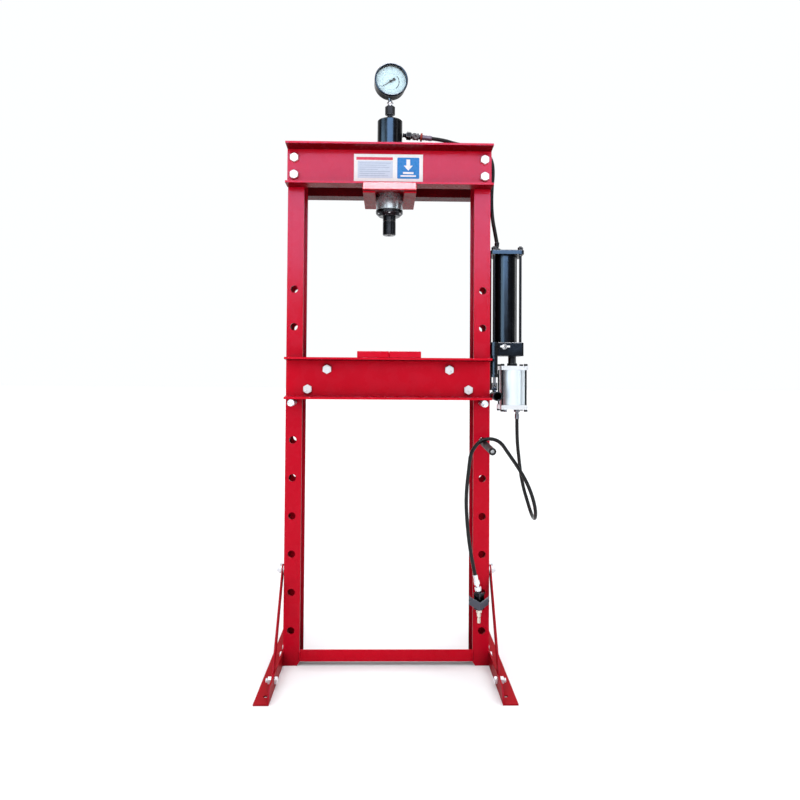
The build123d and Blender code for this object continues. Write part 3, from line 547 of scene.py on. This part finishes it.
def main_axis(size):
    """The index of the axis a fastener is turned about, and whether it is six-sided."""
    best = None
    for index in range(3):
        wide, narrow = sorted((size[(index + 1) % 3], size[(index + 2) % 3]), reverse=True)
        for ratio, six_sided in ((1.0, False), (1.1547, True)):
            miss = abs(wide / narrow - ratio)
            if best is None or miss < best[0]:
                best = (miss, index, six_sided)
    return best[1:]


def remake_fastener(grid, points, pitch):
    """Draw one bolt, nut, washer or spacer over the CAD solid with these points.

    Its head is where the points lie near its widest radius. A head as tall as the solid makes it a nut.
    """
    low, high = extent(points)
    index, six_sided = main_axis(high - low)
    centre = (low + high) / 2
    axis = Vector([1.0 if k == index else 0.0 for k in range(3)])
    offsets = [point - centre for point in points]
    heights = [offset.dot(axis) for offset in offsets]
    reach = [(offset - axis * height).length for offset, height in zip(offsets, heights)]
    widest = max(reach)
    half = (high - low)[index] / 2
    if not six_sided:
        hole = min(reach)
        rim = [(hole, -half), (widest, -half), (widest, half), (hole, half), (hole, -half)]
        revolve(grid, rim, along(centre, axis), 40)
        return
    head = [height for height, radius in zip(heights, reach) if radius > 0.9 * widest]
    if max(head) < half - 2 * MM:
        axis = -axis
        head = [-height for height in head]
    corner = next(offset for offset, radius in zip(offsets, reach) if radius > 0.999 * widest)
    spoke = (corner - axis * corner.dot(axis)).normalized()
    place = Matrix.Translation(centre) @ Matrix((spoke, axis.cross(spoke), axis)).transposed().to_4x4()
    place = place @ Matrix.Rotation(math.pi / 6, 4, "Z")
    flats = widest * math.sqrt(3)
    is_nut = min(head) < -half + 0.5 * MM
    if is_nut:
        hex_block(grid, place, flats, -half, half, min(reach), (True, True))
        return
    hex_block(grid, place, flats, min(head), half)
    shank = max(radius for radius in reach if radius < 0.8 * widest)
    overlap = 0.2 * MM
    threaded(grid, place @ Matrix.Rotation(math.pi, 4, "X"), shank, -min(head) - overlap, half, pitch)


def fasteners(node, look, pitch):
    """All of one node's bolts, nuts and washers."""
    grid = bmesh.new()
    for points in loose_parts(node):
        remake_fastener(grid, points, pitch * MM)
    piece = settle(f"{node}_skin", grid, look, bodies[node], crease=28)
    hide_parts(node)


for group, pitch in (("header_bolts", 2.0), ("bed_bolts", 2.0), ("frame_bolts", 1.75)):
    fasteners(group, zinc, pitch)


# ==============================================================================================
# Frame: rolled channels, angle feet, braces, saddle and their welds
# ==============================================================================================
for node in ("left_post", "right_post"):
    soften(node, post_red, 1.1, 3)
for node, look in (("header_front_channel", red), ("header_rear_channel", shaded_red),
                   ("bed_front_channel", red), ("bed_rear_channel", red)):
    soften(node, look, 1.3, 3)
for node, look in (("left_foot", foot_red), ("right_foot", foot_red), ("base_crossbar", red)):
    soften(node, look, 1.0, 2)
for node in ("front_braces", "rear_braces"):
    soften(node, foot_red, 0.7, 2)
soften("ram_saddle", red, 1.2, 2)
for node in ("left_press_plate", "right_press_plate"):
    soften(node, red, 1.8, 3)


def weld(grid, start, end, radius):
    """A bead of overlapping ripples from start to end."""
    start, end = Vector(start), Vector(end)
    direction = (end - start).normalized()
    place = along(start, direction, (0.3, 0.5, 0.8))
    length = (end - start).length
    ripple = 2.6 * MM
    end_taper = 3 * MM
    steps = max(12, int(length / ripple) * 5)
    profile = [(0, 0)]
    for k in range(1, steps):
        height = length * k / steps
        phase = (height / ripple) % 1.0
        swell = 0.80 + 0.20 * math.sqrt(phase) + 0.05 * math.sin(height / (9 * MM))
        taper = min(1.0, math.sqrt(min(height, length - height) / end_taper))
        profile.append((radius * swell * taper, height))
    profile.append((0, length))
    revolve(grid, profile, place, 12)


def make_welds():
    """The beads that join the crossbar to the posts and the saddle's bars to its plate."""
    grid = bmesh.new()
    low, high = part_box("base_crossbar")
    for x in (low.x, high.x):
        weld(grid, (x, low.y, low.z + 3 * MM), (x, low.y, high.z - 3 * MM), 2.4 * MM)
        weld(grid, (x, low.y + 6 * MM, low.z), (x, high.y - 3 * MM, low.z), 2.2 * MM)
    low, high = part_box("ram_saddle")
    plate_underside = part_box("header_front_channel")[0].z - 8 * MM
    bar_width = 35 * MM
    for side in (-1, 1):
        for edge in (high.x, high.x - bar_width):
            x = side * edge
            weld(grid, (x, low.y + 8 * MM, plate_underside), (x, high.y - 2 * MM, plate_underside), 2.2 * MM)
    settle("frame_welds", grid, red, "frame", crease=50)


make_welds()


# ==============================================================================================
# Bed pins
# ==============================================================================================
def make_pin(node):
    """A turned pin with chamfered ends and a centre drilled in each."""
    low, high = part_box(node)
    radius = (high.x - low.x) / 2 / MM
    length = (high.y - low.y) / MM
    centre = (low + high) / 2
    place = along((centre.x, low.y, centre.z), (0, 1, 0))
    end = [(0, 4.2), (2.4, 1.6), (4.6, 1.2), (radius - 2.6, 0.5), (radius - 1.2, 0), (radius, 1.2)]
    other = [(edge, length - height) for edge, height in reversed(end)]
    grooves = []
    for height in (9.0, length - 11.0):
        grooves += [(radius, height), (radius - 0.8, height + 0.4), (radius - 0.8, height + 1.6),
                    (radius, height + 2.0)]
    piece = turned(f"{node}_skin", end + grooves + other, place, pin_steel, bodies[node],
                   56, 0.25)
    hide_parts(node)


make_pin("left_bed_pin")
make_pin("right_bed_pin")


# ==============================================================================================
# Ram: cylinder, collar, gland, rod
# ==============================================================================================
soften("ram_cylinder", black, 1.6, 3)
soften("cylinder_collar", collar_steel, 0.8)
soften("cylinder_gland", oxide, 0.8)
soften("ram_rod", oxide, 0.6)
recolour("ram_piston", zinc)


def make_return_spring():
    """The coil round the rod, which shortens as the ram comes down."""
    grid = bmesh.new()
    grid.from_mesh(frame["nodes"]["ram_return_spring"].data)
    bmesh.ops.remove_doubles(grid, verts=grid.verts, dist=0.002 * MM)
    spring = settle("return_spring_skin", grid, oxide, "frame")
    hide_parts("ram_return_spring")
    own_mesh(spring)


make_return_spring()


def make_gland_screws():
    """Set screws round the gland, with sockets."""
    low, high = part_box("cylinder_gland")
    grid = bmesh.new()
    radius = (high.x - low.x) / 2 - 5 * MM
    level = low.z + 6.6 * MM
    screws = 6
    head = [(0, 0.4), (1.4, 0.4), (1.4, -1.6), (2.9, -1.6), (3.3, -1.2), (3.3, 3), (0, 3)]
    for k in range(screws):
        angle = 2 * math.pi * (k + 0.5) / screws
        spot = (radius * math.cos(angle), radius * math.sin(angle), level)
        revolve(grid, [(edge * MM, height * MM) for edge, height in head], along(spot, (0, 0, 1)), 24)
    settle("gland_screws", grid, zinc, "frame")


make_gland_screws()

# ==============================================================================================
# Gauge
# ==============================================================================================
gauge_centre = Vector((0, 0, 1.722))
gauge_turn = math.radians(6)
gauge_right = Vector((math.cos(gauge_turn), math.sin(gauge_turn), 0))
gauge_normal = Vector((math.sin(gauge_turn), -math.cos(gauge_turn), 0))
gauge_place = (Matrix.Translation(gauge_centre)
               @ Matrix((gauge_right, Vector((0, 0, 1)), gauge_normal)).transposed().to_4x4())
soften("gauge_case", black, 1.4, 3)
soften("gauge_adaptor", oxide, 0.8)
soften("gauge_stem", chrome, 0.4)
soften("gauge_pointer", dial_ink, 0.15)
recolour("bourdon_tube", brass)

rim = [(48.1, 22), (49.6, 22), (50, 22.6), (50, 31.0), (49.6, 32.6), (48.6, 33.6), (47.2, 34.0), (46.0, 33.7),
       (45.2, 32.8), (45.0, 31.6), (45.0, 30.1), (48.1, 30.1), (48.1, 22)]
bezel = turned("gauge_bezel_skin", rim, gauge_place, black, "frame", 128, 0)
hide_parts("gauge_bezel")
lens = turned("gauge_lens_skin", [(0, 29.9), (20, 29.8), (36, 29.5), (46, 29.0), (48, 28.6), (48, 28.1),
                                  (46, 28.3), (36, 28.8), (20, 29.1), (0, 29.2)],
              gauge_place, window, "frame", 96, 0)
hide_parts("gauge_lens")
dial = turned("gauge_dial_skin", [(2.5, 14.0), (45.6, 14.0), (45.9, 14.3), (45.7, 15.0), (43.9, 15.2),
                                  (2.9, 15.2), (2.5, 15.0), (2.5, 14.0)],
              gauge_place, dial_white, "frame", 96, 0)
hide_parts("gauge_dial")

dial_level = 15.2
ink_lift = 0.12
scale_start = 225.0
scale_sweep = 270.0


def flat_strip(grid, inner, outer, start, sweep, lift, steps=1):
    """A narrow raised arc on the dial, from radius inner to outer, in millimetres and degrees."""
    layers = [dial_level - 0.05, dial_level + lift]
    corners = []
    for k in range(steps + 1):
        angle = math.radians(start + sweep * k / steps)
        spoke = Vector((math.cos(angle), math.sin(angle), 0))
        corners.append([grid.verts.new(gauge_place @ ((spoke * radius + Vector((0, 0, level))) * MM))
                        for radius, level in ((inner, layers[0]), (outer, layers[0]),
                                              (outer, layers[1]), (inner, layers[1]))])
    for one, two in zip(corners, corners[1:]):
        for k in range(4):
            grid.faces.new((one[k], one[(k + 1) % 4], two[(k + 1) % 4], two[k]))
    for cap in (corners[0], corners[-1]):
        grid.faces.new(cap)


def bar_mark(grid, radius_low, radius_high, angle, width):
    """A straight graduation."""
    half = math.degrees(width / 2 / radius_high)
    flat_strip(grid, radius_low, radius_high, angle - half, 2 * half, ink_lift)


def make_dial_marks():
    """Graduations, the fine circle inside them, and the heavy arc of the working range."""
    grid = bmesh.new()
    divisions = 60
    outer = 41.4
    for k in range(divisions + 1):
        if k % 10 == 0:
            inner, width = 37.6, 0.6
        elif k % 5 == 0:
            inner, width = 38.8, 0.25
        else:
            inner, width = 39.6, 0.25
        bar_mark(grid, inner, outer, scale_start - scale_sweep * k / divisions, width)
    settle("dial_graduations", grid, dial_faint, "frame")
    grid = bmesh.new()
    flat_strip(grid, 24.6, 25.0, 55, 252, ink_lift, 80)
    settle("dial_fine_circle", grid, dial_grey, "frame")
    grid = bmesh.new()
    flat_strip(grid, 24.0, 26.2, -52, 98, ink_lift, 40)
    settle("dial_heavy_arc", grid, dial_ink, "frame")


def make_numbers():
    """The scale's numbers, from 0 to 60."""
    steps = 6
    radius = 32.0
    for k in range(steps + 1):
        angle = math.radians(scale_start - scale_sweep * k / steps)
        data = bpy.data.curves.new(f"dial_number_{k}", "FONT")
        data.body = str(10 * k)
        data.size = 4.6 * MM
        data.extrude = 0.06 * MM
        data.align_x = "CENTER"
        data.align_y = "CENTER"
        data.materials.append(dial_faint)
        number = bpy.data.objects.new(f"dial_number_{k}", data)
        bpy.context.scene.collection.objects.link(number)
        spot = Vector((radius * math.cos(angle), radius * math.sin(angle), dial_level + 0.06)) * MM
        number.matrix_world = gauge_place @ Matrix.Translation(spot)
        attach(number, "frame")


make_dial_marks()
make_numbers()
turned("pointer_hub", [(0, 20.6), (2.2, 20.4), (3.6, 19.6), (4.2, 18.4), (4.2, 16.6), (0, 16.6)],
       gauge_place, dial_ink, "pointer", 40, 0.1)
turned("gauge_stem_collar", [(7.05, -64.0), (9.6, -64.0), (10.4, -63.0), (10.4, -60.0), (9.6, -59.0),
                             (7.05, -59.0), (7.05, -64.0)],
       Matrix.Translation(gauge_centre), chrome, "frame", 48, 0.2)


# ==============================================================================================
# Label on the header
# ==============================================================================================
soften("capacity_label", label_white, 0.25)
label_low, label_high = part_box("capacity_label")


def decal(name, outline, look, lift):
    """A printed shape on the label: outline points from its top left corner, in millimetres."""
    grid = bmesh.new()
    front = label_low.y - lift * MM
    back = label_low.y + 0.1 * MM
    rings = [[grid.verts.new((label_low.x + x * MM, y, label_high.z - z * MM)) for x, z in outline]
             for y in (front, back)]
    for ring in rings:
        grid.faces.new(ring)
    for k in range(len(outline)):
        after = (k + 1) % len(outline)
        grid.faces.new((rings[0][k], rings[0][after], rings[1][after], rings[1][k]))
    return settle(name, grid, look, "frame")


def box_outline(left, top, right, bottom, corner=0.0):
    """A rectangle, its corners rounded."""
    if not corner:
        return [(left, top), (right, top), (right, bottom), (left, bottom)]
    points = []
    centres = ((right - corner, top + corner, -90), (right - corner, bottom - corner, 0),
               (left + corner, bottom - corner, 90), (left + corner, top + corner, 180))
    for x, z, start in centres:
        for k in range(6):
            angle = math.radians(start + 18 * k)
            points.append((x + corner * math.cos(angle), z + corner * math.sin(angle)))
    return points


decal("label_red_bar", box_outline(7, 9, 114, 17.5), label_red, 0.06)
decal("label_panel", box_outline(11, 20, 114, 71, 1.5), label_panel, 0.06)
line_ends = (108, 96, 104, 70, 106, 92, 100)
line_pitch = 6.2
for row, end in enumerate(line_ends):
    top = 26 + line_pitch * row
    decal(f"label_line_{row}", box_outline(16, top, end, top + 1.1), label_line, 0.10)
decal("label_badge", box_outline(127, 9.5, 192, 72, 3.0), label_blue, 0.06)
decal("badge_arrow", [(154, 15), (165, 15), (165, 33), (173, 33), (159.5, 48), (146, 33), (154, 33)],
      label_white, 0.12)
decal("badge_block", box_outline(144, 52, 175, 58, 1.0), label_white, 0.12)
decal("badge_base", box_outline(137, 61.5, 182, 66, 1.0), label_white, 0.12)

# ==============================================================================================
# Oil line: coupler and fittings
# ==============================================================================================
port_tilt = math.radians(6)
port_place = along((0.0381, 0, 1.565), (math.cos(port_tilt), 0, -math.sin(port_tilt)))
turned("coupler_neck", [(0, 0.4), (6.5, 0.4), (6.5, 3.0), (5.6, 4.0), (5.6, 8.0), (7.4, 9.4), (8.6, 12),
                        (0, 12)],
       port_place, oxide, "frame", 48, 0.3)
coupler_nut_grid = bmesh.new()
hex_block(coupler_nut_grid, port_place, 22 * MM, 12 * MM, 26 * MM, 0.0, (True, True))
coupler_nut = settle("coupler_nut", coupler_nut_grid, oxide, "frame", 28)
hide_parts("hose_coupler")
turned("coupler_body", [(0, 26), (8.8, 26), (8.8, 29), (7.2, 29.6), (7.2, 31), (10.2, 31.3), (10.5, 32),
                        (10.5, 40), (9.0, 41), (9.0, 42.6), (10.5, 43.4), (10.5, 48), (9.8, 49), (7, 49.4),
                        (7, 54), (0, 54)],
       port_place, oxide, "frame", 96, 0, (31.9, 48.1, 0.45))
turned("coupler_dust_ring", [(7.05, 54), (11.6, 54), (12.5, 54.8), (12.5, 59.2), (11.6, 60), (7.05, 60),
                             (7.05, 54)],
       port_place, dust_ring, "frame", 72, 0.2)
turned("coupler_ferrule", [(0, 60), (7.4, 60), (8, 60.6), (8, 66), (7.3, 67), (7.3, 70), (8, 71), (8, 74),
                           (7.3, 75), (7.3, 78), (8, 79), (8, 85), (7.4, 88), (6.6, 89.7), (0, 89.7)],
       port_place, ferrule_steel, "frame", 64, 0.2)
soften("pump_hose_fitting", oxide, 0.5)

# ==============================================================================================
# Pump: block, reservoir, hand pump and lever
# ==============================================================================================
soften("pump_bracket", black, 0.6)
soften("pump_block", black, 1.0)
soften("reservoir_cap", black, 1.0)
soften("reservoir_tube", black, 0.6)
soften("hand_pump_barrel", black, 0.6)
soften("hand_pump_plunger", rod_steel, 0.4)
soften("fulcrum_link", black, 0.6)
soften("lever_socket", black, 0.8)
soften("release_valve", chrome, 0.5)


def make_tie_rods():
    """Four studs, threaded at the top, each with its nut on the cap."""
    pitch = 1.25 * MM
    tallest_nut = 100 * MM
    threaded_length = 27 * MM
    grid = bmesh.new()
    nuts = []
    for points in loose_parts("tie_rods"):
        low, high = extent(points)
        if high.z - low.z < tallest_nut:
            nuts.append(points)
            continue
        radius = (high.x - low.x) / 2
        plain = radius * 0.97
        top = high.z - threaded_length + 1 * MM
        place = Matrix.Translation(((low.x + high.x) / 2, (low.y + high.y) / 2, 0))
        revolve(grid, [(0, low.z), (plain, low.z), (plain, top), (0, top)], place, 32)
        threaded(grid, place, radius, high.z - threaded_length, high.z, pitch)
    for points in nuts:
        remake_fastener(grid, points, pitch)
    piece = settle("tie_rods_skin", grid, oxide, "frame", crease=28)
    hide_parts("tie_rods")


make_tie_rods()

# ==============================================================================================
# Air motor
# ==============================================================================================
soften("motor_neck", oxide, 0.6)
soften("motor_tube", aluminium, 0.5)
soften("motor_end_caps", cast_cap, 1.0, 3)
soften("motor_bolts", oxide, 0.4)
soften("motor_fittings", rod_steel, 0.4)
soften("air_piston", aluminium, 0.5)

# ==============================================================================================
# Treadle valve on the air hose
# ==============================================================================================
hose_fitting = soften("valve_hose_fitting", chrome, 0.4)
valve_body = soften("foot_valve_body", oxide, 0.7)
nipple = soften("inlet_nipple", brass, 0.4)
treadle = soften("foot_pedal", sheet_grey, 0.4)

# ==============================================================================================
# Stored pump handle
# ==============================================================================================
soften("pump_handle", zinc, 0.6)
droop = math.radians(2)
handle_place = along((0.2765, -0.050, 0.647), (0, -math.cos(droop), -math.sin(droop)))
grip_profile = [(6.05, 30), (9.4, 30), (10, 30.8), (10, 36), (9.6, 36.6), (9.6, 38.4), (10, 39), (9.8, 41),
                (9.7, 194), (10, 196), (10, 201), (9.4, 203.4), (7.8, 204.8), (5.5, 205), (6.05, 30)]
grip = turned("handle_grip_skin", grip_profile, handle_place, grip_rubber, "handle", 72, 0,
              (40.9, 194.1, 0.5))
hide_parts("handle_grip")


# ==============================================================================================
# Studio: a pale floor and soft light
# ==============================================================================================
def make_floor():
    """A wide pale floor, greyer close to the object, so that the undersides stay dark."""
    mesh = bpy.data.meshes.new("floor")
    reach = 40
    corners = [(-reach, -reach, 0), (reach, -reach, 0), (reach, reach, 0), (-reach, reach, 0)]
    mesh.from_pydata(corners, [], [(0, 1, 2, 3)])
    look = Look("pale_floor", Specular_IOR_Level=0.1)
    away = look.node("ShaderNodeVectorMath", operation="LENGTH")
    look.feed(look.place, away.inputs[0])
    far = look.spread(away.outputs["Value"], 0.5, 3.5)
    near_tone = look.mix(look.noise(3, 3), (0.84, 0.84, 0.845), (0.88, 0.88, 0.885))
    look.colour(look.mix(far, near_tone, (0.96, 0.96, 0.965)))
    look.roughness(look.spread(look.noise(20, 3), 0.3, 0.7, 0.75, 0.9))
    mesh.materials.append(look.material)
    floor = bpy.data.objects.new("floor", mesh)
    bpy.context.scene.collection.objects.link(floor)


def soft_box(name, place, target, width, height, radiance, colour=(0.88, 0.95, 1.0), only_on=None):
    """A rectangular light that faces a target. One with only_on is just a glint in the paints it lists."""
    data = bpy.data.lights.new(name, "AREA")
    data.color = colour
    data.shape = "RECTANGLE"
    data.size = width
    data.size_y = height
    data.energy = radiance * math.pi * width * height
    light = bpy.data.objects.new(name, data)
    light.location = place
    light.rotation_mode = "QUATERNION"
    light.rotation_quaternion = (Vector(target) - Vector(place)).to_track_quat("-Z", "Y")
    bpy.context.scene.collection.objects.link(light)
    if only_on:
        lit = bpy.data.collections.new(f"{name}_receivers")
        for thing in bpy.context.scene.objects:
            if any(slot.material in only_on for slot in thing.material_slots):
                lit.objects.link(thing)
        light.light_linking.receiver_collection = lit
        light.visible_diffuse = False


def make_world():
    """A white wall behind the object, a dimmer room in front of it, and a bright ceiling."""
    world = bpy.data.worlds.new("studio")
    bpy.context.scene.world = world
    world.use_nodes = True
    tree = world.node_tree

    def ramp(value, *numbers):
        made = tree.nodes.new("ShaderNodeMapRange")
        for socket, number in zip(made.inputs[1:5], numbers):
            socket.default_value = number
        tree.links.new(value, made.inputs[0])
        return made.outputs[0]

    direction = tree.nodes.new("ShaderNodeTexCoord")
    split = tree.nodes.new("ShaderNodeSeparateXYZ")
    total = tree.nodes.new("ShaderNodeMath")
    tree.links.new(direction.outputs["Generated"], split.inputs[0])
    tree.links.new(ramp(split.outputs["Y"], 0.32, 0.72, 0.14, 1.02), total.inputs[0])
    tree.links.new(ramp(split.outputs["Z"], 0.60, 0.78, 0.0, 1.9), total.inputs[1])
    background = tree.nodes["Background"]
    background.inputs["Color"].default_value = (0.97, 0.985, 1, 1)
    tree.links.new(total.outputs[0], background.inputs["Strength"])


make_floor()
make_world()
paints = [red, post_red, shaded_red, foot_red, black]
soft_box("sky_glint", (0.1, -3.4, 2.65), (0, 0, 1.4), 3.2, 2.1, 27.0, (0.24, 0.52, 1.0), paints)
soft_box("side_glint", (-2.6, -1.2, 1.3), (0, 0, 1.2), 1.9, 2.6, 16.0, (0.40, 0.68, 1.0), [black])
soft_box("corner_glint", (-1.5, -2.7, 1.25), (0.2, 0, 1.2), 1.7, 2.4, 15.0, (0.40, 0.68, 1.0), [black])
soft_box("roof_glint", (0.0, -0.6, 4.2), (0, 0, 1.0), 2.4, 1.6, 100.0, (0.9, 0.92, 1.0), paints)
soft_box("front_fill", (0.1, -3.4, 2.35), (0, 0, 1.2), 3.2, 2.1, 2.6, (0.95, 0.97, 1.0))
soft_box("left_strip", (-1.9, -2.4, 1.4), (0, 0, 1.2), 0.35, 2.2, 4.0)
soft_box("right_strip", (2.5, -1.0, 1.5), (0.2, 0, 0.9), 0.3, 2.2, 4.0)
bpy.context.scene.view_settings.view_transform = "Standard"
